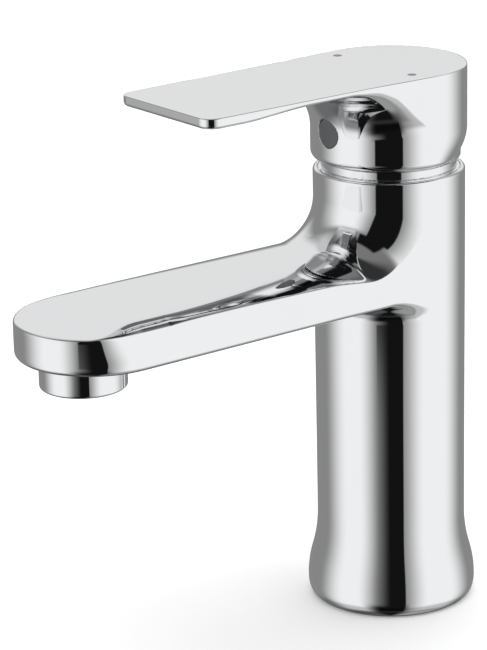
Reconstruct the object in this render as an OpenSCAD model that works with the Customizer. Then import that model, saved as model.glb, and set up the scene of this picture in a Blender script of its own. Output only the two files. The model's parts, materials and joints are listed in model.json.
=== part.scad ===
// Single-lever basin mixer with a 35 mm ceramic-disc cartridge.
// Frame: +Z up, origin at the centre of the base, on the surface it stands on.
// The spout and the lever point along -Y. Hot is on the -X side, cold on the +X side.

/* [Column] */
// Radius of the column at its top
column_r = 23; // [21.6:0.1:23]
// Radius of the column just above the foot
column_low_r = 22.8; // [22:0.1:23]
// Height of the column's rim
rim_z = 137.5; // [137:0.1:138]
// Rounding of the rim's outer edge
rim_round = 1.4; // [0.5:0.1:1.4]
// Widest radius of the flared foot
foot_r = 25.9; // [25:0.1:27]
// Radius of the foot where it meets the deck
foot_edge_r = 23.5; // [23.3:0.1:24]
// Height of the widest line of the foot
foot_wide_z = 5.2; // [4:0.1:6]
// Height where the flare ends and the column begins
flare_z = 27; // [24:0.5:30]
// Radius of the hollow under the body, for the hoses
cavity_r = 19.6; // [18:0.1:19.6]
// Height of the roof of that hollow
cavity_top_z = 88; // [60:1:90]

/* [Spout] */
// Half of the spout's width low down, where its sides are fullest
spout_half_w = 23.5; // [23.2:0.1:24.5]
// Distance from the column's axis to the spout's tip
spout_reach = 132.4; // [130:0.2:140]
// Height of the spout's crowned top along its middle
spout_top_z = 115.3; // [114.5:0.1:116]
// Height of the spout's top round the tip, where it is flat
spout_tip_z = 112.6; // [112.2:0.1:113]
// Half-width of the flat strip along the middle of the crowned top
crown_flat_half_w = 12.9; // [12:0.1:13.5]
// Radius of the crown's shoulders
crown_r = 12.8; // [12:0.1:13.5]
// Height of the spout's underside
spout_low_z = 101.4; // [101:0.1:102]
// Rounding of the spout's lower edge
spout_low_round = 1.4; // [1:0.1:3]
// Radius of the fillet between the spout's top and the column
top_fillet_r = 12; // [8:0.5:14]
// Radius of the fillet between the spout's underside and the column
low_fillet_r = 7; // [4:0.5:8]

/* [Lever] */
// Height of the lever's flat top
lever_top_z = 168.8; // [168:0.1:170]
// Distance from the column's axis to the lever's tip
lever_reach = 83.6; // [75:0.2:90]
// Half of the lever's width at its tip
lever_tip_half_w = 21.8; // [20:0.1:22]
// Half of the lever's width beside the column's axis
lever_root_half_w = 22.8; // [22:0.1:23.4]
// Thickness of the lever's plate
lever_plate_t = 2.9; // [2.5:0.1:3.5]
// Corner radius at the lever's tip
lever_corner_r = 4.5; // [3:0.5:10]
// Outer radius of the lever's skirt
skirt_r = 23.6; // [23.4:0.1:24]
// Inner radius of the lever's skirt
skirt_bore_r = 20.9; // [20.9:0.1:21.2]
// Height of the skirt's lower edge
skirt_low_z = 140.4; // [140.4:0.1:141]
// Radius of the wide flare under the plate, round the front of the skirt
lever_fillet_r = 16; // [12:0.5:16]
// Height of the grub screw and its plug
screw_z = 150.8; // [150:0.1:152]
// Radius of the plug over the grub screw
plug_r = 4.35; // [4:0.05:4.5]
// Radius of the hot and cold marks on the lever
mark_r = 1.5; // [1:0.1:2]

/* [Cartridge] */
// Height of the seat that the cartridge stands on
seat_z = 108; // [108:0.1:108.5]
// Radius of the cartridge
cartridge_r = 17.4; // [17:0.1:17.5]
// Height of the pin that the stem tilts on
pivot_z = 124; // [123.8:0.1:124.2]
// Height of the centre of the stem's ball
ball_z = 116.8; // [116.7:0.1:117]
// Radius of the stem's ball
ball_r = 1.9; // [1.7:0.1:1.9]

/* [Aerator] */
// Distance from the column's axis to the outlet's axis
outlet_reach = 113.8; // [105:0.1:114]
// Radius of the aerator's visible collar
aerator_r = 12.7; // [12.3:0.1:13]
// Height of the aerator's lower edge
aerator_low_z = 92.5; // [90:0.5:94]
// Radius of the aerator's threaded spigot
spigot_r = 11.9; // [11.8:0.05:12]

/* [Hidden] */
$fn = 96;
// Overlap that makes cuts pass clean through a face
eps = 0.05;
// How far a fillet's circle runs into the faces it blends, so that it crosses them
fillet_bite = 0.08;
// Gap between pieces that are screwed or pushed together
seat_gap = 0.05;
// Gap between pieces that move on each other
run_gap = 0.3;

// Body: bores
bore_r = cartridge_r + 0.2;
nut_r = 19;
nut_low_z = 126.5;
ring_bore_r = 21.5;
ring_seat_z = 131;
outlet_bore_r = spigot_r + seat_gap;
outlet_bore_z = 108.4;
spout_centre_y = -(spout_reach - spout_half_w);
// The side leans inward above this height, up to the crease where the crown's shoulder begins
side_lean_z = 105.5;
crown_a = 44;
crease_x = crown_flat_half_w + crown_r * sin(crown_a);
crease_z = spout_top_z - crown_r * (1 - cos(crown_a));
// The crown slopes down between these two places to the flat round the tip
crown_end_y = -88;
tip_flat_y = -122;
waterway_half_w = 16;
waterway_low_z = 104.1;
waterway_top_z = 109.6;
waterway_tip_y = -outlet_reach + 6;
link_bore_r = 2.9;
link_bore_z = 103.2;
link_end_y = -25;
port_r = 3;
inlet_x = 9.5;
inlet_y = 4;
inlet_r = 4.5;
inlet_depth = 12;
stud_y = -11.5;
stud_r = 3.4;
stud_depth = 10;
gasket_low_r = 20.6;
gasket_high_r = 22.6;
gasket_t = 1.6;

// Cartridge: heights of the stack
base_t = 2.4;
fixed_z = seat_z + base_t;
fixed_t = 2.2;
moving_z = fixed_z + fixed_t;
moving_t = 2;
carrier_z = moving_z + moving_t;
carrier_t = 4.6;
carrier_mouth_r = 3.2;
carrier_mouth_z = 118.1;
rotor_low_z = carrier_z + carrier_t + 0.4;
rotor_top_z = 133.6;
rotor_r = 11.2;
rotor_foot_r = 13.6;
rotor_foot_t = 2.4;
housing_bore_r = 14;
neck_z = 126.3;
neck_r = 13.4;
neck_bore_r = rotor_r + 0.06;
housing_top_z = 133;
disc_r = 13.8;
moving_r = 10.2;
port_x = 6.2;
port_y = 4.2;
mix_y = -7;
seal_tube_r = 0.45;
peg_x = 9.5;
peg_y = -6;
peg_r = 1.2;
peg_l = 1.8;

// Stem
stem_half_x = 3.4;
stem_half_y = 3.9;
stem_top_z = 160;
stem_neck_r = 1.5;
stem_block_drop = 3;
pin_r = 1.5;
pin_half_l = 10.8;
tilt_slot_front = 4.6;
tilt_slot_back = 9.6;

// Cap ring
cap_low_z = 131.1;
cap_r = 20.6;
cap_flange_r = ring_bore_r - seat_gap;
cap_flange_top_z = 134.4;
dome_r = 26.1;
dome_top_z = 143;
cap_open_r = 16.9;
cap_thread_r = 17.6;
cap_thread_top_z = 137.2;
cap_seal_z = 132.9;
cap_seal_tube_r = 0.5;

// Lever: the skirt's bore at its lower edge stays outside the dome's sphere about the pivot
lever_under_z = lever_top_z - lever_plate_t;
hub_r = 7;
hub_low_z = 147;
hub_front_y = -12;
hub_front_half_w = 5;
grub_r = 2.5;
grub_l = 6;
skirt_round = 2.3;
plug_hole_r = plug_r + 0.08;
mark_x = 17.2;
mark_y = -5.4;
mark_t = 0.3;

// Aerator
aerator_top_z = 107.2;
aerator_bore_r = 10.4;
aerator_lip_r = 9.6;
grid_low_z = aerator_low_z + 0.8;

// ---------------------------------------------------------------- shared shapes

// Points on an arc about [x, z], from angle a0 to angle a1
function arc(x, z, r, a0, a1, n = 12) =
    [for (i = [0:n]) let (a = a0 + (a1 - a0) * i / n) [x + r * cos(a), z + r * sin(a)]];

module tube(r_out, r_in, z0, z1) {
    difference() {
        translate([0, 0, z0]) cylinder(r = r_out, h = z1 - z0);
        translate([0, 0, z0 - eps]) cylinder(r = r_in, h = z1 - z0 + 2 * eps);
    }
}

module torus(ring_r, tube_r) {
    rotate_extrude() translate([ring_r, 0]) circle(r = tube_r, $fn = 24);
}

// The three water ports, as [x, y] places: hot, cold and mixed
function ports() = [[-port_x, port_y], [port_x, port_y], [0, mix_y]];

// ---------------------------------------------------------------- body

// Half outline of the column: foot, flare, column and rounded rim.
// The flare is two arcs of equal angle, the lower one convex and the upper one concave.
flare_dr = foot_r - column_low_r;
flare_dz = flare_z - foot_wide_z;
flare_a = 2 * atan(flare_dr / flare_dz);
flare_sum = flare_dz / sin(flare_a);
flare_low_r = flare_sum * 0.43;
flare_high_r = flare_sum - flare_low_r;
function column_outline() = concat(
    [[0, 0]],
    [for (i = [0:10]) let (a = 90 - 9 * i)
        [foot_edge_r + (foot_r - foot_edge_r) * cos(a), foot_wide_z * (1 - sin(a))]],
    arc(foot_r - flare_low_r, foot_wide_z, flare_low_r, 0.5, flare_a, 10),
    arc(column_low_r + flare_high_r, flare_z, flare_high_r, 180 + flare_a - 1.5, 180, 10),
    [[column_r, rim_z - rim_round]],
    arc(column_r - rim_round, rim_z - rim_round, rim_round, 8, 90, 8),
    [[0, rim_z]]
);

// Half outline of the spout's section: rounded lower edge, side leaning inward, crowned top
function spout_outline() = concat(
    [[0, spout_low_z]],
    arc(spout_half_w - spout_low_round, spout_low_z + spout_low_round, spout_low_round, -90, 0, 8),
    [[spout_half_w, side_lean_z]],
    arc(crown_flat_half_w, spout_top_z - crown_r, crown_r, 90 - crown_a, 90, 12),
    [[0, spout_top_z]]
);

module spout_solid() {
    difference() {
        union() {
            translate([0, spout_centre_y, 0]) rotate_extrude() polygon(spout_outline());
            for (side = [0, 1])
                mirror([side, 0, 0])
                    rotate([90, 0, 0])
                        linear_extrude(height = -spout_centre_y) polygon(spout_outline());
        }
        // The crown slopes down to the flat round the tip
        translate([-spout_half_w - 1, 0, 0])
            rotate([90, 0, 90])
                linear_extrude(height = 2 * spout_half_w + 2)
                    polygon([
                        [crown_end_y, spout_top_z], [crown_end_y, spout_top_z + 1],
                        [-spout_reach - 1, spout_top_z + 1], [-spout_reach - 1, spout_tip_z],
                        [tip_flat_y, spout_tip_z]
                    ]);
    }
}

// Ring of concave fillet round the column: up = 1 above the spout, -1 below it.
// It is half_x wide to each side and reaches sink deep into the spout.
module root_fillet(z, r, up, half_x, sink) {
    intersection() {
        rotate_extrude() {
            difference() {
                translate([column_r - 3, up > 0 ? z - sink : z - r]) square([3 + r, r + sink]);
                translate([column_r + r - fillet_bite, z + up * (r - fillet_bite)]) circle(r = r);
            }
        }
        translate([-half_x, -column_r - 2 * r, z - 2 * r])
            cube([2 * half_x, column_r + 2 * r, 4 * r]);
    }
}

module body_waterways() {
    // Stepped bore for the cartridge, the nut and the cap ring
    translate([0, 0, seat_z]) cylinder(r = bore_r, h = rim_z);
    translate([0, 0, nut_low_z - 0.3]) cylinder(r = nut_r + seat_gap, h = rim_z);
    translate([0, 0, ring_seat_z]) cylinder(r = ring_bore_r, h = rim_z);
    // Hollow under the body
    translate([0, 0, -eps]) cylinder(r = cavity_r, h = cavity_top_z + eps);
    // Groove for the base gasket
    tube(gasket_high_r, gasket_low_r, -1, gasket_t);
    // Hot and cold inlets and their ports up to the seat
    for (side = [-1, 1]) {
        translate([side * inlet_x, inlet_y, cavity_top_z - 1])
            cylinder(r = inlet_r, h = inlet_depth + 1);
        translate([side * inlet_x, inlet_y, cavity_top_z]) cylinder(r = port_r, h = 16);
        translate([side * port_x, port_y, seat_z - 6]) cylinder(r = port_r, h = 7);
    }
    // Sockets for the cartridge's locating pegs
    for (side = [-1, 1])
        translate([side * peg_x, peg_y, seat_z - peg_l - 0.2]) cylinder(r = peg_r + 0.1, h = peg_l + 1);
    // Threaded hole for the fixing stud
    translate([0, stud_y, cavity_top_z - 1]) cylinder(r = stud_r, h = stud_depth + 1);
    // Mixed-water port, the link to the spout, and the spout's channel
    translate([0, mix_y, link_bore_z]) cylinder(r = port_r, h = seat_z - link_bore_z + 1);
    translate([0, mix_y, link_bore_z])
        rotate([90, 0, 0]) cylinder(r = link_bore_r, h = -link_end_y + mix_y);
    translate([-waterway_half_w, waterway_tip_y, waterway_low_z])
        cube([2 * waterway_half_w, -waterway_tip_y - column_r, waterway_top_z - waterway_low_z]);
    // Threaded seat of the aerator
    translate([0, -outlet_reach, spout_low_z - 1])
        cylinder(r = outlet_bore_r, h = outlet_bore_z - spout_low_z + 1);
}

module body_casting() {
    color([0.82, 0.83, 0.85])
        difference() {
            union() {
                rotate_extrude() polygon(column_outline());
                spout_solid();
                root_fillet(spout_top_z, top_fillet_r, 1, crease_x - 0.1, spout_top_z - crease_z + 0.8);
                root_fillet(spout_low_z, low_fillet_r, -1, column_r, 1);
            }
            body_waterways();
        }
}

module base_gasket() {
    color([0.1, 0.1, 0.1])
        tube(gasket_high_r - seat_gap, gasket_low_r + seat_gap, 0, gasket_t - seat_gap);
}

// ---------------------------------------------------------------- cartridge

seal_ring_r = port_r + 1.1;

module seal_grooves(z) {
    for (p = ports())
        translate([p[0], p[1], z]) torus(seal_ring_r, seal_tube_r + 0.05);
}

module cartridge_base() {
    color([0.93, 0.93, 0.9])
        difference() {
            union() {
                translate([0, 0, seat_z]) cylinder(r = cartridge_r, h = base_t - seat_gap);
                for (side = [-1, 1])
                    translate([side * peg_x, peg_y, seat_z - peg_l]) cylinder(r = peg_r, h = peg_l + 1);
            }
            for (p = ports())
                translate([p[0], p[1], seat_z - 1]) cylinder(r = port_r, h = base_t + 2);
            seal_grooves(seat_z + seal_tube_r);
            seal_grooves(fixed_z - seal_tube_r - seat_gap);
        }
}

module seal_set(z) {
    for (p = ports())
        translate([p[0], p[1], z]) torus(seal_ring_r, seal_tube_r);
}

module port_seals() {
    color([0.12, 0.12, 0.12]) seal_set(seat_z + seal_tube_r);
}

module disc_seals() {
    color([0.12, 0.12, 0.12]) seal_set(fixed_z - seal_tube_r - seat_gap);
}

module fixed_disc() {
    color([0.96, 0.95, 0.92])
        difference() {
            translate([0, 0, fixed_z]) cylinder(r = disc_r, h = fixed_t - 0.02);
            for (p = ports())
                translate([p[0], p[1], fixed_z - 1]) cylinder(r = port_r - 0.2, h = fixed_t + 2);
        }
}

module moving_disc() {
    color([0.9, 0.88, 0.84])
        difference() {
            translate([0, 0, moving_z + 0.02]) cylinder(r = moving_r, h = moving_t - 0.04);
            // Mixing pocket in the lower face
            translate([0, -1, moving_z - 1]) cylinder(r = 5, h = 2);
        }
}

module disc_carrier() {
    color([0.2, 0.45, 0.75])
        difference() {
            translate([0, 0, carrier_z + 0.02]) cylinder(r = moving_r - 0.4, h = carrier_t - 0.02);
            // Socket that the stem's ball works in, with a wider mouth for its neck
            translate([0, 0, carrier_z - 1]) cylinder(r = ball_r + 0.35, h = carrier_t + 2);
            translate([0, 0, carrier_mouth_z]) cylinder(r = carrier_mouth_r, h = carrier_t);
        }
}

module cartridge_housing() {
    color([0.88, 0.88, 0.86])
        difference() {
            union() {
                translate([0, 0, fixed_z]) cylinder(r = cartridge_r, h = neck_z - fixed_z);
                translate([0, 0, neck_z - 1]) cylinder(r = neck_r, h = housing_top_z - neck_z + 1);
            }
            translate([0, 0, fixed_z - 1])
                cylinder(r = housing_bore_r, h = rotor_low_z + rotor_foot_t + 1.06 - fixed_z);
            translate([0, 0, fixed_z]) cylinder(r = neck_bore_r, h = housing_top_z);
        }
}

module rotor() {
    color([0.85, 0.2, 0.15])
        difference() {
            union() {
                translate([0, 0, rotor_low_z]) cylinder(r = rotor_foot_r, h = rotor_foot_t);
                translate([0, 0, rotor_low_z]) cylinder(r = rotor_r, h = rotor_top_z - rotor_low_z);
            }
            // Slot that the stem tilts in
            translate([-stem_half_x - run_gap, -tilt_slot_front - 3, rotor_low_z - 1])
                cube([2 * (stem_half_x + run_gap), tilt_slot_front + 3 + tilt_slot_back,
                    rotor_top_z - rotor_low_z + 2]);
            // Cross bore for the stem's pin
            translate([-pin_half_l - 2, 0, pivot_z])
                rotate([0, 90, 0]) cylinder(r = pin_r + seat_gap, h = 2 * pin_half_l + 4);
        }
}

module stem() {
    color([0.8, 0.68, 0.35])
        difference() {
            union() {
                translate([0, 0, ball_z]) sphere(r = ball_r);
                translate([0, 0, ball_z]) cylinder(r = stem_neck_r, h = pivot_z - ball_z);
                translate([-stem_half_x, -stem_half_y, pivot_z - stem_block_drop])
                    cube([2 * stem_half_x, 2 * stem_half_y, stem_top_z - pivot_z + stem_block_drop]);
            }
            translate([-10, 0, pivot_z]) rotate([0, 90, 0]) cylinder(r = pin_r + 0.06, h = 20);
        }
}

module stem_pin() {
    color([0.7, 0.7, 0.72])
        translate([-pin_half_l, 0, pivot_z]) rotate([0, 90, 0]) cylinder(r = pin_r, h = 2 * pin_half_l);
}

module limiter_ring() {
    color([0.9, 0.25, 0.1])
        difference() {
            tube(neck_r, 12, housing_top_z + seat_gap, housing_top_z + 2);
            // Notch that marks the comfort setting
            translate([-2, 0, housing_top_z]) cube([4, neck_r + 1, 3]);
        }
}

module retaining_nut() {
    color([0.78, 0.62, 0.3])
        difference() {
            union() {
                tube(nut_r, neck_r + 0.25, nut_low_z, ring_seat_z);
                tube(cap_thread_r - seat_gap, neck_r + 0.25, nut_low_z + 1, 136.4);
            }
            // Four slots for the nut driver
            for (a = [0, 90])
                rotate([0, 0, a + 45]) translate([-2, -cap_thread_r - 1, 133.6])
                    cube([4, 2 * cap_thread_r + 2, 4]);
        }
}

module cap_ring() {
    color([0.82, 0.83, 0.85])
        difference() {
            intersection() {
                union() {
                    translate([0, 0, cap_low_z]) cylinder(r = cap_r, h = dome_top_z - cap_low_z);
                    translate([0, 0, cap_low_z])
                        cylinder(r = cap_flange_r, h = cap_flange_top_z - cap_low_z);
                }
                translate([0, 0, pivot_z]) sphere(r = dome_r);
            }
            translate([0, 0, cap_low_z - 1]) cylinder(r = cap_thread_r, h = cap_thread_top_z - cap_low_z + 1);
            translate([0, 0, cap_low_z]) cylinder(r = cap_open_r, h = dome_top_z);
            // Groove for the seal
            translate([0, 0, cap_seal_z]) torus(cap_flange_r - cap_seal_tube_r, cap_seal_tube_r + seat_gap);
        }
}

module cap_ring_seal() {
    color([0.1, 0.1, 0.1])
        translate([0, 0, cap_seal_z]) torus(cap_flange_r - cap_seal_tube_r, cap_seal_tube_r);
}

// ---------------------------------------------------------------- lever

// Outline of the lever seen from above: tapered sides, round tip corners and a round back
lever_taper = atan((lever_root_half_w - lever_tip_half_w) / lever_reach);
function lever_side() = concat(
    [[0, -lever_reach]],
    arc(lever_tip_half_w - lever_corner_r, -lever_reach + lever_corner_r, lever_corner_r,
        -90, 0, 10)
);
function lever_plan() = concat(
    lever_side(),
    [[lever_root_half_w, 0]],
    arc(0, 0, skirt_r - 0.4, 14, 166, 24),
    [[-lever_root_half_w, 0]],
    [for (i = [len(lever_side()) - 1:-1:1]) [-lever_side()[i][0], lever_side()[i][1]]]
);

// Half outline of the skirt, with its rounded lower edge
function skirt_outline() = concat(
    [[0, skirt_low_z], [skirt_r - skirt_round, skirt_low_z]],
    arc(skirt_r - skirt_round, skirt_low_z + skirt_round, skirt_round, -80, 0, 8),
    [[skirt_r, lever_top_z - 0.6], [skirt_r - 0.6, lever_top_z], [0, lever_top_z]]
);

module lever_underside_fillet() {
    low_z = lever_under_z - lever_fillet_r;
    intersection() {
        rotate_extrude() {
            difference() {
                translate([skirt_r - 2, low_z])
                    square([2 + lever_fillet_r, lever_fillet_r + 1]);
                translate([skirt_r + lever_fillet_r - fillet_bite, low_z + fillet_bite])
                    circle(r = lever_fillet_r);
            }
        }
        translate([-lever_tip_half_w, -lever_reach, low_z])
            cube([2 * lever_tip_half_w, lever_reach - 5, lever_fillet_r + 1]);
    }
}

module mark_disc(side, r, h) {
    translate([side * mark_x, mark_y, lever_top_z - mark_t]) cylinder(r = r, h = h);
}

module lever_handle() {
    color([0.82, 0.83, 0.85])
        difference() {
            union() {
                difference() {
                    union() {
                        rotate_extrude() polygon(skirt_outline());
                        translate([0, 0, lever_under_z])
                            linear_extrude(height = lever_plate_t) polygon(lever_plan());
                        lever_underside_fillet();
                    }
                    // Hollow of the skirt
                    translate([0, 0, skirt_low_z - 1])
                        cylinder(r = skirt_bore_r, h = lever_under_z - skirt_low_z + 0.6);
                }
                // Hub that holds the stem and the grub screw
                translate([0, 0, hub_low_z]) cylinder(r = hub_r, h = lever_under_z - hub_low_z);
                translate([-hub_front_half_w, hub_front_y, hub_low_z + 2])
                    cube([2 * hub_front_half_w, -hub_front_y, lever_under_z - hub_low_z - 2]);
            }
            // Socket for the stem
            translate([-stem_half_x - seat_gap, -stem_half_y - seat_gap, hub_low_z - 1])
                cube([2 * (stem_half_x + seat_gap), 2 * (stem_half_y + seat_gap),
                    stem_top_z + seat_gap - hub_low_z + 1]);
            // Grub screw's thread, and the hole for the plug
            translate([0, -stem_half_y, screw_z])
                rotate([90, 0, 0]) cylinder(r = grub_r + seat_gap, h = skirt_r);
            translate([0, hub_front_y - 2, screw_z])
                rotate([90, 0, 0]) cylinder(r = plug_hole_r, h = skirt_r);
            for (side = [-1, 1])
                mark_disc(side, mark_r + 0.03, 1);
        }
}

module grub_screw() {
    color([0.35, 0.35, 0.37])
        difference() {
            translate([0, -stem_half_y - seat_gap, screw_z])
                rotate([90, 0, 0]) cylinder(r = grub_r, h = grub_l);
            // Hexagon socket
            translate([0, -stem_half_y - grub_l + 2.5, screw_z])
                rotate([90, 0, 0]) cylinder(r = 1.44, h = 3, $fn = 6);
        }
}

module screw_plug() {
    color([0.4, 0.41, 0.42])
        intersection() {
            translate([0, -skirt_bore_r + 1, screw_z])
                rotate([90, 0, 0]) cylinder(r = plug_r, h = 6);
            translate([0, 0, screw_z - 10]) cylinder(r = skirt_r + 0.1, h = 20);
        }
}

module hot_mark() {
    color([0.62, 0.25, 0.22]) mark_disc(-1, mark_r, mark_t);
}

module cold_mark() {
    color([0.25, 0.35, 0.6]) mark_disc(1, mark_r, mark_t);
}

// ---------------------------------------------------------------- aerator

module aerator_housing() {
    color([0.82, 0.83, 0.85])
        translate([0, -outlet_reach, 0])
            difference() {
                union() {
                    translate([0, 0, aerator_low_z])
                        cylinder(r = aerator_r, h = spout_low_z - seat_gap - aerator_low_z);
                    translate([0, 0, aerator_low_z])
                        cylinder(r = spigot_r, h = aerator_top_z - aerator_low_z);
                }
                translate([0, 0, grid_low_z]) cylinder(r = aerator_bore_r, h = 20);
                translate([0, 0, aerator_low_z - 1]) cylinder(r = aerator_lip_r, h = 20);
            }
}

module aerator_washer() {
    color([0.1, 0.1, 0.1])
        translate([0, -outlet_reach, 0])
            tube(spigot_r - 0.1, 8.6, aerator_top_z + 0.02, outlet_bore_z - 0.02);
}

module aerator_screen() {
    color([0.7, 0.7, 0.72])
        translate([0, -outlet_reach, 0])
            difference() {
                translate([0, 0, aerator_top_z - 1.2]) cylinder(r = aerator_bore_r - seat_gap, h = 0.8);
                for (ring = [1:2], i = [0:6 * ring - 1])
                    rotate([0, 0, 60 / ring * i])
                        translate([3.6 * ring, 0, aerator_top_z - 2]) cylinder(r = 0.9, h = 3, $fn = 24);
            }
}

// Honeycomb flow straightener: a rim and two sets of crossing ribs
module aerator_insert() {
    rib_t = 0.7;
    rib_pitch = 2.6;
    rib_top_z = grid_low_z + 5;
    insert_r = aerator_bore_r - seat_gap;
    color([0.75, 0.77, 0.8])
        translate([0, -outlet_reach, 0]) {
            tube(insert_r, insert_r - 1.1, grid_low_z + 0.02, aerator_top_z - 1.25);
            intersection() {
                translate([0, 0, grid_low_z + 0.02]) cylinder(r = insert_r - 0.5, h = 5);
                union() {
                    for (i = [-3:3]) {
                        translate([i * rib_pitch - rib_t / 2, -insert_r, grid_low_z])
                            cube([rib_t, 2 * insert_r, rib_top_z - grid_low_z]);
                        translate([-insert_r, i * rib_pitch - rib_t / 2, grid_low_z])
                            cube([2 * insert_r, rib_t, rib_top_z - grid_low_z]);
                    }
                }
            }
        }
}

body_casting();
base_gasket();
cartridge_base();
port_seals();
disc_seals();
fixed_disc();
moving_disc();
disc_carrier();
cartridge_housing();
rotor();
stem();
stem_pin();
limiter_ring();
retaining_nut();
cap_ring();
cap_ring_seal();
lever_handle();
grub_screw();
screw_plug();
hot_mark();
cold_mark();
aerator_housing();
aerator_washer();
aerator_screen();
aerator_insert();
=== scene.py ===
"""Looks of a chrome single-lever basin mixer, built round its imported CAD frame.

The two castings, the body and the lever, are shaped here as smooth distance fields in millimetres
and meshed from them, so that every fillet and rounded edge reflects cleanly. The turned pieces are
lathed. Frame: +Z up, origin at the centre of the foot, spout and lever along -Y.
"""
import json
import math

import bpy
import numpy as np
from mathutils import Matrix, Vector


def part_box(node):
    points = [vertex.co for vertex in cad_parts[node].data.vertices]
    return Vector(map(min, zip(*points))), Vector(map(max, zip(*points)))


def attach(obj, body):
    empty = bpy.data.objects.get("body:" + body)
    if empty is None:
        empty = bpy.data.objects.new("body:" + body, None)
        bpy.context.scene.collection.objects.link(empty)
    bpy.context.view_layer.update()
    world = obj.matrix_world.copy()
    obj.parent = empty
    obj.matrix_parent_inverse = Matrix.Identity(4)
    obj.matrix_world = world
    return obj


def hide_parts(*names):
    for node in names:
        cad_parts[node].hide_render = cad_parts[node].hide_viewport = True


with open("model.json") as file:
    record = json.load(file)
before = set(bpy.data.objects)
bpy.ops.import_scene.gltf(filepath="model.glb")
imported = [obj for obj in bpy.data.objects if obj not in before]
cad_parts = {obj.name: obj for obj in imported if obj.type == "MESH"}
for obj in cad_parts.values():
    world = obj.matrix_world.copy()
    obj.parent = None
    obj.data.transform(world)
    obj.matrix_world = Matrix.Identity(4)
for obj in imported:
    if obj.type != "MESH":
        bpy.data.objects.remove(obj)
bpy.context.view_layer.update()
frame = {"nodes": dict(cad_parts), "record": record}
MM = 0.001


# ------------------------------------------------------------------ driving dimensions, in mm

def box_mm(node):
    """Lowest and highest corner of a node's box."""
    return [[value / MM for value in corner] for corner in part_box(node)]


def centre_of(box, axis):
    return (box[0][axis] + box[1][axis]) / 2


X, Y, Z = range(3)
body_box, lever_box, aerator_box, mark_box, plug_box = [
    box_mm(node) for node in ("body_casting", "lever_handle", "aerator_housing", "cold_mark", "screw_plug")]
RIM_Z = body_box[1][Z]
SPOUT_TIP_Y = body_box[0][Y]
FOOT_R = body_box[1][X]
LEVER_TOP_Z = lever_box[1][Z]
LEVER_LOW_Z = lever_box[0][Z]
LEVER_TIP_Y = lever_box[0][Y]
SKIRT_R = lever_box[1][X]
OUTLET_Y = centre_of(aerator_box, Y)
AERATOR_LOW_Z = aerator_box[0][Z]
AERATOR_R = (aerator_box[1][X] - aerator_box[0][X]) / 2
MARK_X, MARK_Y = centre_of(mark_box, X), centre_of(mark_box, Y)
PLUG_Z = centre_of(plug_box, Z)
PLUG_R = (plug_box[1][X] - plug_box[0][X]) / 2

COLUMN_R = 23.0          # at the rim
COLUMN_LOW_R = 22.8      # just above the flare
RIM_ROUND = 1.2
RIM_BORE_R = 21.5
RIM_SEAT_Z = 131.0       # floor of the rim's bore
FLARE_Z = 27.0
FOOT_WIDE_Z = 5.2
FOOT_EDGE_R = 23.5
CAVITY_R = 19.6          # hose cavity, open below
CAVITY_TOP_Z = 88.0
GROOVE_R, GROOVE_HALF_W, GROOVE_DEPTH = 21.6, 1.0, 1.6   # for the gasket under the foot
INLET_X, INLET_Y, INLET_R, INLET_DEPTH = 9.5, 4.0, 4.5, 12.0
STUD_Y, STUD_R, STUD_DEPTH = -11.5, 3.4, 10.0

SPOUT_HALF_W = 23.5
SPOUT_CREST_Z = 114.7    # crest of the top where it is first fully crowned
SPOUT_TIP_Z = 112.4      # the top is flat round the tip, at the height of the crease
SPOUT_TIP_FLAT_HALF = 23.4
SPOUT_FLAT_HALF = 15.2   # half-width of the crown's flat there, narrower towards the column
SPOUT_CROWN_R = 9.3      # shoulder from the flat down to the side, wider towards the column
SPOUT_ROOT_RISE = 2.3    # further rise of the crest towards the column
CROWN_SPREAD_FROM = 34.4  # the crown starts to widen this far behind the tip
CROWN_SPREAD_OVER = 58.0  # and has gained the next two amounts after this much more
CROWN_R_GAIN = 21.0
CROWN_FLAT_LOSS = 10.4
CROWN_LEAN = 0.95        # the shoulder is an arc as far as this share of its radius, and straight after
SPOUT_BULGE_Z = 104.0    # the sides are fullest here
SPOUT_BULGE = 0.044      # and fall away from it by this much times the height squared
SPOUT_LOW_Z = 101.3
SPOUT_TOP_ROUND = 0.5
SPOUT_LOW_ROUND = 1.4
OUTLET_R = 11.95
OUTLET_TOP_Z = 108.4
TOP_FILLET = 12.0
LOW_FILLET = 7.0

LEVER_TIP_HALF_W = 21.8
LEVER_ROOT_HALF_W = 22.8
LEVER_CORNER_R = 4.5
LEVER_FILLET = 16.0
PLATE_T = 3.2            # down the plate's middle and at its tip
PLATE_EDGE_T = 1.8       # along its sides
HOLLOW_TOP = 3.4         # the skirt's hollow ends this far below the lever's top
SKIRT_BACK_TAPER = 3.4   # the back of the skirt draws in towards its lower edge
SKIRT_CURVE_H = 9.6      # over this height
SKIRT_BORE_R = 20.9
SKIRT_MIN_WALL = 0.75
HUB_R, HUB_LOW_Z = 7.0, 147.0
BLOCK_Y, BLOCK_HALF_W, BLOCK_HALF_L, BLOCK_LOW_Z = -6.0, 5.0, 6.0, 149.0   # holds the grub screw
PLUG_GAP = 0.08
PLUG_SEAT_Y = -14.0      # inner end of the plug's hole


# ------------------------------------------------------------------ distance fields

def round_max(a, b, r):
    """Overlap of two solids, with its edge rounded to radius r."""
    return np.minimum(-r, np.maximum(a, b)) + np.hypot(np.maximum(a + r, 0), np.maximum(b + r, 0))


def round_min(a, b, r):
    """Union of two solids, with a concave fillet of radius r."""
    return -round_max(-a, -b, r)


def smoothstep(lo, hi, v):
    t = np.clip((v - lo) / (hi - lo), 0, 1)
    return t * t * (3 - 2 * t)


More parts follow.
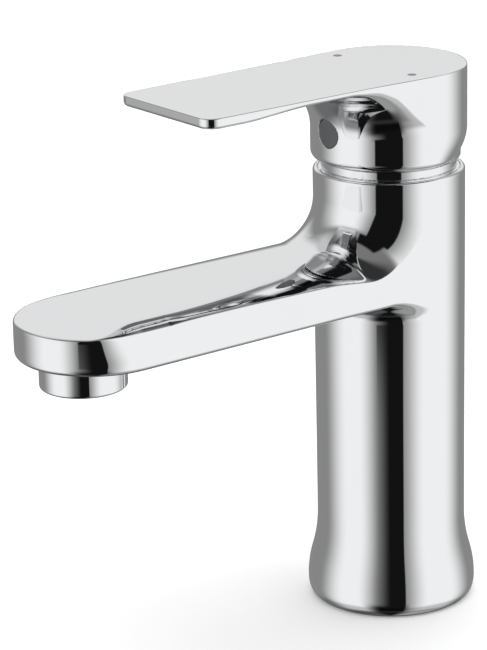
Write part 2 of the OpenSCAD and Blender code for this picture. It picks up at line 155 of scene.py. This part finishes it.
FLARE_DR = FOOT_R - COLUMN_LOW_R
FLARE_DZ = FLARE_Z - FOOT_WIDE_Z
FLARE_ANGLE = 2 * math.atan(FLARE_DR / FLARE_DZ)
FLARE_SUM = FLARE_DZ / math.sin(FLARE_ANGLE)
FLARE_LOW_R = 0.43 * FLARE_SUM
FLARE_HIGH_R = FLARE_SUM - FLARE_LOW_R
FLARE_MID_Z = FOOT_WIDE_Z + FLARE_LOW_R * math.sin(FLARE_ANGLE)


def column_radius(z):
    """Outline of the column: elliptical foot edge, convex arc, concave arc, slow taper."""
    foot_t = np.clip((FOOT_WIDE_Z - z) / FOOT_WIDE_Z, 0, 1)
    foot = FOOT_EDGE_R + (FOOT_R - FOOT_EDGE_R) * np.sqrt(np.maximum(1 - foot_t ** 2, 1e-4))
    convex = FOOT_R - FLARE_LOW_R + np.sqrt(FLARE_LOW_R ** 2 - np.clip(z - FOOT_WIDE_Z, 0, 20) ** 2)
    rise = np.clip(FLARE_Z - z, 0, 30)
    concave = COLUMN_LOW_R + FLARE_HIGH_R - np.sqrt(FLARE_HIGH_R ** 2 - rise ** 2)
    taper = COLUMN_LOW_R + (COLUMN_R - COLUMN_LOW_R) * smoothstep(FLARE_Z, RIM_Z, z)
    radius = np.where(z < FOOT_WIDE_Z, foot, convex)
    radius = np.where(z > FLARE_MID_Z, concave, radius)
    return np.where(z > FLARE_Z, taper, radius)


def column_wall(r, z):
    """Signed distance to the column's side, corrected for the outline's slope."""
    step = 0.05
    slope = (column_radius(z + step) - column_radius(z - step)) / (2 * step)
    return (r - column_radius(z)) / np.sqrt(1 + slope ** 2)


def spout_top(across, y, crowned, z):
    """Distance to the top, across being the distance in plan from the spout's spine."""
    spread = np.clip((y - SPOUT_TIP_Y - CROWN_SPREAD_FROM) / CROWN_SPREAD_OVER, 0, 1.2)
    radius = (SPOUT_CROWN_R + CROWN_R_GAIN * spread) * crowned + 0.2
    crown_flat = SPOUT_FLAT_HALF - CROWN_FLAT_LOSS * spread ** 1.3
    flat_half = SPOUT_TIP_FLAT_HALF + (crown_flat - SPOUT_TIP_FLAT_HALF) * crowned
    crest = SPOUT_TIP_Z + (SPOUT_CREST_Z - SPOUT_TIP_Z) * crowned + SPOUT_ROOT_RISE * spread ** 1.5
    bend = np.clip(across - flat_half, 0, CROWN_LEAN * radius)
    height = np.sqrt(radius ** 2 - bend ** 2)
    beyond = np.maximum(across - flat_half - CROWN_LEAN * radius, 0)
    return (z - crest + radius - height + beyond * bend / height) * height / radius


def spout_side(z, crowned):
    """Inset of the spout's side: bulging low down, and leaning inward above where it is crowned."""
    rise = np.clip(z - SPOUT_BULGE_Z, -4, 10)
    bend = np.minimum(rise, 2.5)
    return SPOUT_BULGE * (bend ** 2 + 5 * (rise - bend)) * np.where(rise > 0, crowned, 1)


def body_field(x, y, z):
    """Column and spout with their fillets, less the bores."""
    r = np.hypot(x, y)
    wall = column_wall(r, z)
    column = np.maximum(round_max(wall, z - RIM_Z, RIM_ROUND), -z)
    # The spout's sides leave the column along its tangent and widen to their full width
    half = SPOUT_HALF_W + (column_radius(z) - SPOUT_HALF_W) * smoothstep(-26, 0, y)
    across = np.hypot(x, y - np.clip(y, SPOUT_TIP_Y + SPOUT_HALF_W, 0))
    crowned = smoothstep(SPOUT_TIP_Y + 8, SPOUT_TIP_Y + 25, y)
    plan = across - half + spout_side(z, crowned) * smoothstep(-20, -40, y)
    above = round_min(wall, spout_top(across, y, crowned, z), TOP_FILLET)
    below = round_min(wall, SPOUT_LOW_Z - z, LOW_FILLET)
    spout = round_max(plan, above, SPOUT_TOP_ROUND + 0.4 * (1 - crowned))
    spout = round_max(spout, below, SPOUT_LOW_ROUND)
    spout = np.maximum(spout, z - SPOUT_CREST_Z - SPOUT_ROOT_RISE - TOP_FILLET - 3)
    spout = np.maximum(spout, SPOUT_LOW_Z - LOW_FILLET - 3 - z)
    return np.maximum(np.minimum(column, spout), -body_hollows(x, y, z, r))


def body_hollows(x, y, z, r):
    """Union of the body's bores: rim, hose cavity, gasket groove, inlets, stud and outlet."""
    rim = np.maximum(r - RIM_BORE_R, RIM_SEAT_Z - z)
    cavity = np.maximum(r - CAVITY_R, z - CAVITY_TOP_Z)
    groove = np.maximum(np.abs(r - GROOVE_R) - GROOVE_HALF_W, z - GROOVE_DEPTH)
    outlet = np.maximum(np.hypot(x, y - OUTLET_Y) - OUTLET_R, np.maximum(z - OUTLET_TOP_Z, 90 - z))
    inlet = np.maximum(np.hypot(np.abs(x) - INLET_X, y - INLET_Y) - INLET_R, z - CAVITY_TOP_Z - INLET_DEPTH)
    stud = np.maximum(np.hypot(x, y - STUD_Y) - STUD_R, z - CAVITY_TOP_Z - STUD_DEPTH)
    holes = np.minimum(np.minimum(rim, cavity), np.minimum(groove, outlet))
    return np.minimum(holes, np.maximum(np.minimum(inlet, stud), 80 - z))


def lever_plan(x, y):
    """Distance in plan to the lever's outline: tapered plate, round corners, round back."""
    half = LEVER_ROOT_HALF_W + (LEVER_ROOT_HALF_W - LEVER_TIP_HALF_W) * y / -LEVER_TIP_Y
    half = half + (SKIRT_R - half) * smoothstep(-26, 0, y)
    sides = np.where(y < 0, np.abs(x), np.hypot(x, y)) - half
    return round_max(sides, LEVER_TIP_Y - y, LEVER_CORNER_R)


def lever_field(x, y, z):
    """Plate and skirt with the wide flare between them, hollow, with the hub and block inside."""
    r = np.hypot(x, y)
    plan = lever_plan(x, y)
    # The plate is thicker at its tip, and thinner along its sides than down its middle
    edge_t = PLATE_EDGE_T + (PLATE_T - PLATE_EDGE_T) * smoothstep(-46, -72, y)
    middle = smoothstep(0, 14, -plan)
    under = LEVER_TOP_Z - edge_t - (PLATE_T - edge_t) * middle
    plate = round_max(plan, z - LEVER_TOP_Z, 0.5)
    back = smoothstep(-6, 14, y)
    drawn_in = np.clip((LEVER_LOW_Z + SKIRT_CURVE_H - z) / SKIRT_CURVE_H, 0, 1) ** 2 * back
    side = r - np.maximum(SKIRT_R - SKIRT_BACK_TAPER * drawn_in, SKIRT_BORE_R + SKIRT_MIN_WALL)
    flare = round_min(r - SKIRT_R, under - z, LEVER_FILLET)
    # The flare's edge is soft beside the skirt and sharper where the plate reaches far past it
    overhang = r - SKIRT_R - plan
    flare_edge = 2.6 * smoothstep(0, 5, overhang) - 1.4 * smoothstep(7, 13, overhang)
    plate = np.maximum(round_max(plate, flare, flare_edge), LEVER_LOW_Z + SKIRT_CURVE_H - z)
    skirt = round_max(side, LEVER_LOW_Z - z, 2.4 - 1.8 * back)
    skirt = np.maximum(skirt, z - LEVER_TOP_Z + 2)
    solid = np.minimum(plate, skirt)
    bore = SKIRT_BORE_R - smoothstep(LEVER_LOW_Z + 0.2, LEVER_LOW_Z + 2, z) * back
    hollow = np.maximum(r - bore, z - LEVER_TOP_Z + HOLLOW_TOP)
    solid = round_max(solid, -hollow, 0.3 - 0.2 * back)
    hub = np.maximum(r - HUB_R, HUB_LOW_Z - z)
    block = np.maximum(np.abs(x) - BLOCK_HALF_W, np.abs(y - BLOCK_Y) - BLOCK_HALF_L)
    block = np.maximum(block, BLOCK_LOW_Z - z)
    hub = round_min(hub, block, 1.0)
    hub = np.maximum(hub, z - LEVER_TOP_Z + 2)
    solid = round_min(solid, hub, 1.5)
    plug_hole = np.maximum(np.hypot(x, z - PLUG_Z) - PLUG_R - PLUG_GAP, y - PLUG_SEAT_Y)
    return round_max(solid, -plug_hole, 0.12)


# ------------------------------------------------------------------ meshing a field

EDGES = [((0, 0, 0), (1, 0, 0)), ((0, 1, 0), (1, 1, 0)), ((0, 0, 1), (1, 0, 1)), ((0, 1, 1), (1, 1, 1)),
         ((0, 0, 0), (0, 1, 0)), ((1, 0, 0), (1, 1, 0)), ((0, 0, 1), (0, 1, 1)), ((1, 0, 1), (1, 1, 1)),
         ((0, 0, 0), (0, 0, 1)), ((1, 0, 0), (1, 0, 1)), ((0, 1, 0), (0, 1, 1)), ((1, 1, 0), (1, 1, 1))]


def spaced(*runs):
    """Grid lines from runs of (start, end, step), each run ending where the next begins."""
    lines = []
    for start, end, step in runs:
        lines.append(np.linspace(start, end, max(int(round((end - start) / step)), 1) + 1)[:-1])
    return np.concatenate(lines + [[runs[-1][1]]])


def gradient(field, p, step=0.01):
    """Central differences of the field at points p, an array of shape (n, 3)."""
    out = np.empty_like(p)
    for axis in range(3):
        shift = np.zeros(3)
        shift[axis] = step
        out[:, axis] = (field(*(p + shift).T) - field(*(p - shift).T)) / (2 * step)
    return out


def settle(field, p, cell):
    """Moves each point along the gradient until it lies on the surface."""
    start = p.copy()
    for _ in range(5):
        g = gradient(field, p)
        p = p - field(*p.T)[:, None] * g / np.maximum((g ** 2).sum(1), 0.1)[:, None]
        p = start + np.clip(p - start, -cell, cell)
    return p


def mesh_field(name, field, xs, ys, zs, upright=None):
    """Closed quad mesh of a field's zero surface on a grid, with the field's own normals.

    upright gives, for points of the surface, how far the shading normal is laid back to level.
    """
    grid = np.meshgrid(xs, ys, zs, indexing="ij")
    value = field(*[g.ravel() for g in grid]).reshape(grid[0].shape)
    inside = value < 0
    nx, ny, nz = (size - 1 for size in inside.shape)
    count = sum(inside[i:nx + i, j:ny + j, k:nz + k].astype(np.int8)
                for i in (0, 1) for j in (0, 1) for k in (0, 1))
    cells = np.argwhere((count > 0) & (count < 8))
    index = np.full(count.shape, -1)
    index[tuple(cells.T)] = np.arange(len(cells))

    total = np.zeros((len(cells), 3))
    hits = np.zeros(len(cells))
    lines = (xs, ys, zs)
    for a, b in EDGES:
        ia, ib = cells + a, cells + b
        va, vb = value[tuple(ia.T)], value[tuple(ib.T)]
        crossed = (va < 0) != (vb < 0)
        t = np.where(crossed, va / np.where(crossed, va - vb, 1), 0)[:, None]
        pa = np.stack([lines[n][ia[:, n]] for n in range(3)], 1)
        pb = np.stack([lines[n][ib[:, n]] for n in range(3)], 1)
        total += np.where(crossed[:, None], pa + (pb - pa) * t, 0)
        hits += crossed
    cell = np.stack([np.diff(lines[n])[cells[:, n]] for n in range(3)], 1)
    points = settle(field, total / hits[:, None], cell)

    quads = []
    for axis in range(3):
        one, two = [n for n in range(3) if n != axis]
        lo = inside[tuple(slice(0, -1) if n == axis else slice(1, -1) for n in range(3))]
        hi = inside[tuple(slice(1, None) if n == axis else slice(1, -1) for n in range(3))]
        for leaving in (True, False):
            at = np.argwhere((lo & ~hi) if leaving else (~lo & hi))
            at[:, one] += 1
            at[:, two] += 1
            ring = []
            for du, dv in ((-1, -1), (0, -1), (0, 0), (-1, 0)):
                c = at.copy()
                c[:, one] += du
                c[:, two] += dv
                ring.append(index[tuple(c.T)])
            ring = np.stack(ring, 1)
            flip = leaving == (axis == 1)
            quads.append(ring[:, ::-1] if flip else ring)
    quads = np.concatenate(quads)

    normals = gradient(field, points)
    if upright is not None:
        normals[:, 2] *= 1 - upright(*points.T)
    normals /= np.maximum(np.linalg.norm(normals, axis=1), 1e-6)[:, None]
    mesh = bpy.data.meshes.new(name)
    mesh.from_pydata((points * MM).tolist(), [], quads.tolist())
    mesh.validate()
    mesh.polygons.foreach_set("use_smooth", np.ones(len(mesh.polygons), bool))
    mesh.normals_split_custom_set_from_vertices(normals.tolist())
    mesh.update()
    return add_object(name, mesh)


def add_object(name, mesh):
    obj = bpy.data.objects.new(name, mesh)
    bpy.context.scene.collection.objects.link(obj)
    return obj


# ------------------------------------------------------------------ turned pieces

def arc(cx, cz, r, start, end, steps):
    """Outline points on an arc, angles in degrees."""
    return [(cx + r * math.cos(math.radians(start + (end - start) * i / steps)),
             cz + r * math.sin(math.radians(start + (end - start) * i / steps))) for i in range(steps + 1)]


def lathe(name, outline, centre=(0, 0, 0), segments=160):
    """Upright turned solid from a closed outline of (radius, height) points, in mm."""
    vertices, faces = [], []
    n = len(outline)
    for s in range(segments):
        a = 2 * math.pi * s / segments
        for r, h in outline:
            x, y = r * math.cos(a), r * math.sin(a)
            vertices.append(((x + centre[0]) * MM, (y + centre[1]) * MM, (h + centre[2]) * MM))
    for s in range(segments):
        nxt = (s + 1) % segments
        for i in range(n):
            j = (i + 1) % n
            faces.append((s * n + i, nxt * n + i, nxt * n + j, s * n + j))
    mesh = bpy.data.meshes.new(name)
    mesh.from_pydata(vertices, [], faces)
    mesh.validate()
    mesh.polygons.foreach_set("use_smooth", np.ones(len(mesh.polygons), bool))
    mesh.set_sharp_from_angle(angle=math.radians(35))
    return add_object(name, mesh)


# ------------------------------------------------------------------ materials

def new_material(name):
    material = bpy.data.materials.new(name)
    material.use_nodes = True
    nodes = material.node_tree.nodes
    return material, nodes, material.node_tree.links, nodes["Principled BSDF"]


def noise(nodes, links, scale, detail, coordinates):
    texture = nodes.new("ShaderNodeTexNoise")
    texture.inputs["Scale"].default_value = scale
    texture.inputs["Detail"].default_value = detail
    links.new(coordinates.outputs["Object"], texture.inputs["Vector"])
    return texture


def ramp_between(nodes, links, source, low, high):
    spread = nodes.new("ShaderNodeMapRange")
    spread.inputs["From Min"].default_value = 0.3
    spread.inputs["From Max"].default_value = 0.7
    spread.inputs["To Min"].default_value = low
    spread.inputs["To Max"].default_value = high
    links.new(source.outputs[0], spread.inputs["Value"])
    return spread


def surface(name, colour, metallic, rough_low, rough_high, bump=0.0, bump_scale=900.0, spread_scale=60.0,
            colour_shift=0.0):
    """A material whose roughness, tint and fine relief vary by noise at a real scale."""
    material, nodes, links, shader = new_material(name)
    shader.inputs["Metallic"].default_value = metallic
    coordinates = nodes.new("ShaderNodeTexCoord")
    wide = noise(nodes, links, spread_scale, 3.0, coordinates)
    rough = ramp_between(nodes, links, wide, rough_low, rough_high)
    links.new(rough.outputs["Result"], shader.inputs["Roughness"])
    mix = nodes.new("ShaderNodeMix")
    mix.data_type = "RGBA"
    mix.inputs["A"].default_value = (*[c * (1 - colour_shift) for c in colour], 1)
    mix.inputs["B"].default_value = (*[min(c * (1 + colour_shift), 1) for c in colour], 1)
    links.new(wide.outputs[0], mix.inputs["Factor"])
    links.new(mix.outputs["Result"], shader.inputs["Base Color"])
    if bump:
        fine = noise(nodes, links, bump_scale, 2.0, coordinates)
        relief = nodes.new("ShaderNodeBump")
        relief.inputs["Strength"].default_value = bump
        relief.inputs["Distance"].default_value = 0.0001
        links.new(fine.outputs[0], relief.inputs["Height"])
        links.new(relief.outputs["Normal"], shader.inputs["Normal"])
    return material


MATERIALS = {
    "chrome_plate": surface(
        "chrome_plate", (0.93, 0.935, 0.945), 1.0, 0.02, 0.045, spread_scale=45, colour_shift=0.01),
    "raw_brass": surface("raw_brass", (0.72, 0.52, 0.22), 1.0, 0.22, 0.38, 0.15, 1500, colour_shift=0.06),
    "bright_steel": surface("bright_steel", (0.6, 0.6, 0.62), 1.0, 0.2, 0.32, 0.1, 1800, colour_shift=0.04),
    "seal_rubber": surface("seal_rubber", (0.02, 0.02, 0.021), 0.0, 0.5, 0.7, 0.25, 2500, colour_shift=0.2),
    "disc_ceramic": surface("disc_ceramic", (0.86, 0.83, 0.77), 0.0, 0.15, 0.28, 0.05, 2500, colour_shift=0.02),
    "white_plastic": surface(
        "white_plastic", (0.78, 0.78, 0.74), 0.0, 0.35, 0.5, 0.12, 2200, colour_shift=0.03),
    "pale_plastic": surface("pale_plastic", (0.5, 0.54, 0.58), 0.0, 0.3, 0.45, 0.12, 2200, colour_shift=0.04),
    "blue_plastic": surface("blue_plastic", (0.03, 0.12, 0.4), 0.0, 0.35, 0.5, 0.12, 2200, colour_shift=0.05),
    "red_plastic": surface("red_plastic", (0.5, 0.04, 0.02), 0.0, 0.35, 0.5, 0.12, 2200, colour_shift=0.05),
    "grey_plastic": surface("grey_plastic", (0.125, 0.13, 0.135), 0.0, 0.28, 0.4, 0.08, 2600, 200, 0.06),
    "hot_enamel": surface("hot_enamel", (0.22, 0.13, 0.125), 0.0, 0.3, 0.45, 0.1, 2600, 300, 0.08),
    "cold_enamel": surface("cold_enamel", (0.13, 0.155, 0.2), 0.0, 0.3, 0.45, 0.1, 2600, 300, 0.08),
}
SLOT_OF = {s["node"]: s["material_slot"] for s in frame["record"]["subparts"]}


def finish_piece(piece, body, slot, *replaced):
    piece.data.materials.clear()
    piece.data.materials.append(MATERIALS[slot])
    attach(piece, body)
    if replaced:
        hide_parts(*replaced)


for node_name, node_object in frame["nodes"].items():
    node_object.data.materials.clear()
    node_object.data.materials.append(MATERIALS[SLOT_OF[node_name]])


# ------------------------------------------------------------------ camera

# Place and aim of the camera: turn from the -Y axis, distance and height in metres, then pan, pitch and roll
CAM_TURN, CAM_DISTANCE, CAM_HEIGHT = math.radians(49.88), 0.9034, 0.3753
CAM_PAN, CAM_PITCH, CAM_ROLL = math.radians(2.84), math.radians(17.69), math.radians(-1.21)
CAM_LENS = 171.35

camera = bpy.data.objects.new("camera", bpy.data.cameras.new("camera"))
bpy.context.scene.collection.objects.link(camera)
bpy.context.scene.camera = camera
camera.data.lens = CAM_LENS
camera.data.sensor_width = 36.0
camera.data.clip_start, camera.data.clip_end = 0.01, 50.0
cam_yaw = CAM_TURN + CAM_PAN
aim = Vector((
    -math.sin(cam_yaw) * math.cos(CAM_PITCH), math.cos(cam_yaw) * math.cos(CAM_PITCH), -math.sin(CAM_PITCH)))
level = Vector((math.cos(cam_yaw), math.sin(cam_yaw), 0))
upward = level.cross(aim)
cam_x = math.cos(CAM_ROLL) * level + math.sin(CAM_ROLL) * upward
cam_y = -math.sin(CAM_ROLL) * level + math.cos(CAM_ROLL) * upward
camera.matrix_world = Matrix.Translation(
    (CAM_DISTANCE * math.sin(CAM_TURN), -CAM_DISTANCE * math.cos(CAM_TURN), CAM_HEIGHT)
) @ Matrix((cam_x, cam_y, -aim)).transposed().to_4x4()


# ------------------------------------------------------------------ studio

# Brightness of the studio's parts
SOFT_BOX = 0.88
BACK_WALL = 0.24
BACK_SHEET = 0.75
CEILING_FRONT, CEILING_BACK, CEILING_SIDE = 0.18, 0.55, 0.03
UNDERFOOT, UNDERFOOT_RIGHT = 0.08, 0.3
FLAG = 0.006
GROUND_SHADE = 0.42      # share of the light lost below the walls
STUDIO_STRENGTH = 1.04
FLOOR_HALF = 6.0
LAMP_SIZE, LAMP_HEIGHT, LAMP_POWER = 3.0, 2.2, 55.0


class WorldShader:
    """Small helper that chains math nodes in the world's node tree."""

    def __init__(self, tree):
        self.nodes, self.links = tree.nodes, tree.links

    def put(self, socket, value):
        """Links or sets an input, whichever the value calls for."""
        if isinstance(value, bpy.types.NodeSocket):
            self.links.new(value, socket)
        else:
            socket.default_value = value

    def math(self, operation, a, b=0.0):
        node = self.nodes.new("ShaderNodeMath")
        node.operation = operation
        self.put(node.inputs[0], a)
        self.put(node.inputs[1], b)
        return node.outputs[0]

    def step(self, value, low, high):
        """0 at low and 1 at high, smooth between, with low above high for a falling edge."""
        node = self.nodes.new("ShaderNodeMapRange")
        node.interpolation_type = "SMOOTHSTEP"
        for name, v in (("Value", value), ("From Min", low), ("From Max", high)):
            self.put(node.inputs[name], v)
        return node.outputs["Result"]

    def mix(self, factor, a, b):
        node = self.nodes.new("ShaderNodeMix")
        node.data_type = "RGBA"
        self.put(node.inputs["Factor"], factor)
        self.put(node.inputs["A"], a)
        self.put(node.inputs["B"], b)
        return node.outputs["Result"]


world = bpy.data.worlds.new("studio")
bpy.context.scene.world = world
world.use_nodes = True
ws = WorldShader(world.node_tree)
background = world.node_tree.nodes["Background"]
direction = ws.nodes.new("ShaderNodeTexCoord").outputs["Generated"]
split = ws.nodes.new("ShaderNodeSeparateXYZ")
ws.links.new(direction, split.inputs[0])
dx, dy, dz = split.outputs
sin_turn, cos_turn = math.sin(CAM_TURN), math.cos(CAM_TURN)
front = ws.math("ADD", ws.math("MULTIPLY", dx, sin_turn), ws.math("MULTIPLY", dy, -cos_turn))
right = ws.math("ADD", ws.math("MULTIPLY", dx, cos_turn), ws.math("MULTIPLY", dy, sin_turn))
RADIAN = math.degrees(1)
turn = ws.math("MULTIPLY", ws.math("ARCTAN2", right, front), RADIAN)
ANGLES = {
    "turn": turn,
    "away": ws.math("ABSOLUTE", turn),
    "height": ws.math("MULTIPLY", ws.math("ARCSINE", dz), RADIAN),
}


def patch(studio, level, share=1.0, **edges):
    """The studio with one more light or flag, which fades in from nothing to full over each pair of degrees.

    turn is towards the front view's right, away is the turn to either side, and height is above the horizon.
    """
    mask = share
    for angle, pairs in edges.items():
        for nothing, full in pairs:
            mask = ws.math("MULTIPLY", ws.step(ANGLES[angle], nothing, full), mask)
    return ws.mix(mask, studio, (level, level, level, 1))


# A soft box on each side, the right one taller, and a bright sheet low behind the object.
studio = (BACK_WALL, BACK_WALL, BACK_WALL, 1)
studio = patch(studio, SOFT_BOX, turn=[(-120, -70), (-15, -50)], height=[(40, 25)])
studio = patch(studio, SOFT_BOX, turn=[(15, 55), (140, 90)], height=[(52, 42)])
studio = patch(studio, BACK_SHEET, away=[(130, 160)], height=[(0, 14)])
# The ceiling is dim in front, lighter behind and darkest on the right.
studio = patch(studio, CEILING_FRONT, height=[(42, 52)])
studio = patch(studio, CEILING_BACK, away=[(60, 140)], height=[(36, 50)])
studio = patch(studio, CEILING_SIDE, turn=[(30, 65), (170, 120)], height=[(42, 60)])
# The dark flag in front has sharp edges, moves left near the ceiling and has a faded left edge below.
studio = patch(studio, FLAG, turn=[(-21, -19), (22, 20)], height=[(-20, -17), (44, 40)])
studio = patch(studio, FLAG, turn=[(-34, -30), (18, 12)], height=[(34, 40), (62, 56)])
studio = patch(studio, FLAG, turn=[(-30, 0), (21, 19.5)], height=[(-14, -17)])
studio = patch(studio, FLAG, turn=[(-45, -15), (30, 15)], height=[(-21, -34)])
# Below the walls the room darkens towards the ground, most of all in front.
studio = patch(studio, 0, GROUND_SHADE, height=[(-30, -42)])
studio = patch(studio, UNDERFOOT, height=[(-48, -64)])
studio = patch(studio, UNDERFOOT_RIGHT, turn=[(20, 50), (150, 110)], height=[(-48, -64)])
studio = patch(studio, FLAG, turn=[(-45, -15), (25, 10)], height=[(-48, -64)])
ws.links.new(studio, background.inputs["Color"])
background.inputs["Strength"].default_value = STUDIO_STRENGTH

floor_mesh = bpy.data.meshes.new("floor")
floor_corners = [(u * FLOOR_HALF, v * FLOOR_HALF, 0) for u, v in ((-1, -1), (1, -1), (1, 1), (-1, 1))]
floor_mesh.from_pydata(floor_corners, [], [(0, 1, 2, 3)])
floor = add_object("floor", floor_mesh)
floor_material, floor_nodes, floor_links, floor_shader = new_material("floor")
floor_shader.inputs["Base Color"].default_value = (0.93, 0.93, 0.93, 1)
floor_shader.inputs["Roughness"].default_value = 1.0
floor_shader.inputs["Specular IOR Level"].default_value = 0.0
floor_shader.inputs["Emission Color"].default_value = (1, 1, 1, 1)
floor_shader.inputs["Emission Strength"].default_value = 0.16
floor_mesh.materials.append(floor_material)
floor.visible_glossy = False

lamp = bpy.data.objects.new("overhead", bpy.data.lights.new("overhead", "AREA"))
lamp.data.shape = "DISK"
lamp.data.size = LAMP_SIZE
lamp.data.energy = LAMP_POWER
lamp.location = (0, 0, LAMP_HEIGHT)
lamp.visible_glossy = False
bpy.context.scene.collection.objects.link(lamp)
bpy.context.scene.view_settings.view_transform = "Standard"


# ------------------------------------------------------------------ the pieces

def polished_flare(x, y, z):
    """How far the flare's shading is laid level, so that it mirrors the room as the column above it does."""
    outside = smoothstep(COLUMN_LOW_R - 1.0, COLUMN_LOW_R - 0.5, np.hypot(x, y))
    over_edge = smoothstep(FOOT_WIDE_Z - 4, FOOT_WIDE_Z + 2, z)
    under_column = smoothstep(FLARE_Z + 8, FLARE_Z + 2, z)
    return 0.96 * outside * over_edge * under_column


body = mesh_field(
    "body_skin", body_field,
    spaced((-27, -12, 0.6), (-12, 12, 0.9), (12, 27, 0.6)), spaced((-133.5, 27, 0.8)),
    spaced((-0.4, 3, 0.4), (3, 28, 0.9), (28, 84, 4.0), (84, 100, 1.0), (100, 104.6, 0.4), (104.6, 110, 0.8),
           (110, 117, 0.35), (117, 130, 0.8), (130, 134, 1.3), (134, 138.1, 0.3)),
    upright=polished_flare)
finish_piece(body, "body", "chrome_plate", "body_casting")

lever = mesh_field(
    "lever_skin", lever_field,
    spaced((-25, -13, 0.45), (-13, -5, 0.6), (-5, 5, 0.3), (5, 13, 0.6), (13, 25, 0.45)),
    spaced((-86, -24, 0.65), (-24, -21, 0.3), (-21, 13, 0.65), (13, 25.4, 0.45)),
    spaced((139.9, 146, 0.4), (146, 152.6, 0.3), (152.6, 160, 0.8), (160, 165, 0.5), (165, 169.4, 0.25)))
finish_piece(lever, "lever", "chrome_plate", "lever_handle")

CAP_R = 20.6
CAP_DOME_R = 26.1        # about the lever's pivot
PIVOT_Z = 124.0
CAP_TOP_Z = 143.0
CAP_NECK_R = 16.9        # bore round the cartridge's neck
CAP_SHOULDER_R = 17.6    # bore below it
CAP_SHOULDER_Z = 137.2
CAP_LOW_Z = 131.2
FLANGE_R = 21.42
FLANGE_TOP_Z = 137.35
dome_start = math.degrees(math.acos(CAP_R / CAP_DOME_R))
dome_end = math.degrees(math.asin((CAP_TOP_Z - PIVOT_Z) / CAP_DOME_R))
cap_outline = (
    [(CAP_SHOULDER_R, CAP_LOW_Z), (FLANGE_R, CAP_LOW_Z), (FLANGE_R, FLANGE_TOP_Z - 0.25),
     (FLANGE_R - 0.12, FLANGE_TOP_Z - 0.1), (CAP_R, FLANGE_TOP_Z)]
    + arc(0, PIVOT_Z, CAP_DOME_R, dome_start, dome_end, 12)
    + [(CAP_NECK_R, CAP_TOP_Z), (CAP_NECK_R, CAP_SHOULDER_Z), (CAP_SHOULDER_R, CAP_SHOULDER_Z)]
)
cap = lathe("cap_ring_skin", cap_outline, segments=200)
finish_piece(cap, "body", "chrome_plate", "cap_ring")

COLLAR_MOUTH_R = 9.6
COLLAR_MOUTH_H = 0.8     # height of the lip round the mouth
COLLAR_ROUND = 0.9
COLLAR_TOP_Z = 101.35    # just clear of the spout's underside
THREAD_R, THREAD_BORE_R, THREAD_TOP_Z = 11.9, 10.4, 107.2
collar_outline = (
    [(COLLAR_MOUTH_R, AERATOR_LOW_Z + COLLAR_MOUTH_H), (COLLAR_MOUTH_R, AERATOR_LOW_Z + 0.25),
     (COLLAR_MOUTH_R + 0.25, AERATOR_LOW_Z)]
    + arc(AERATOR_R - COLLAR_ROUND, AERATOR_LOW_Z + COLLAR_ROUND, COLLAR_ROUND, -90, 0, 8)
    + [(AERATOR_R, COLLAR_TOP_Z - 0.25), (AERATOR_R - 0.25, COLLAR_TOP_Z - 0.02), (THREAD_R, COLLAR_TOP_Z),
       (THREAD_R, THREAD_TOP_Z), (THREAD_BORE_R, THREAD_TOP_Z), (THREAD_BORE_R, AERATOR_LOW_Z + COLLAR_MOUTH_H)]
)
collar = lathe("aerator_collar_skin", collar_outline, (0, OUTLET_Y, 0), 160)
finish_piece(collar, "body", "chrome_plate", "aerator_housing")

MARK_R = 1.35
MARK_DEPTH = 0.25
MARK_PROUD = 0.05
mark_outline = [
    (0.0, LEVER_TOP_Z - MARK_DEPTH), (MARK_R, LEVER_TOP_Z - MARK_DEPTH), (MARK_R, LEVER_TOP_Z + 0.02),
    (MARK_R - 0.15, LEVER_TOP_Z + 0.045), (0.0, LEVER_TOP_Z + MARK_PROUD),
]
for sign, mark in ((-1, "hot_mark"), (1, "cold_mark")):
    dot = lathe(mark + "_enamel", mark_outline, (sign * MARK_X, MARK_Y, 0), 48)
    finish_piece(dot, "lever", SLOT_OF[mark], mark)
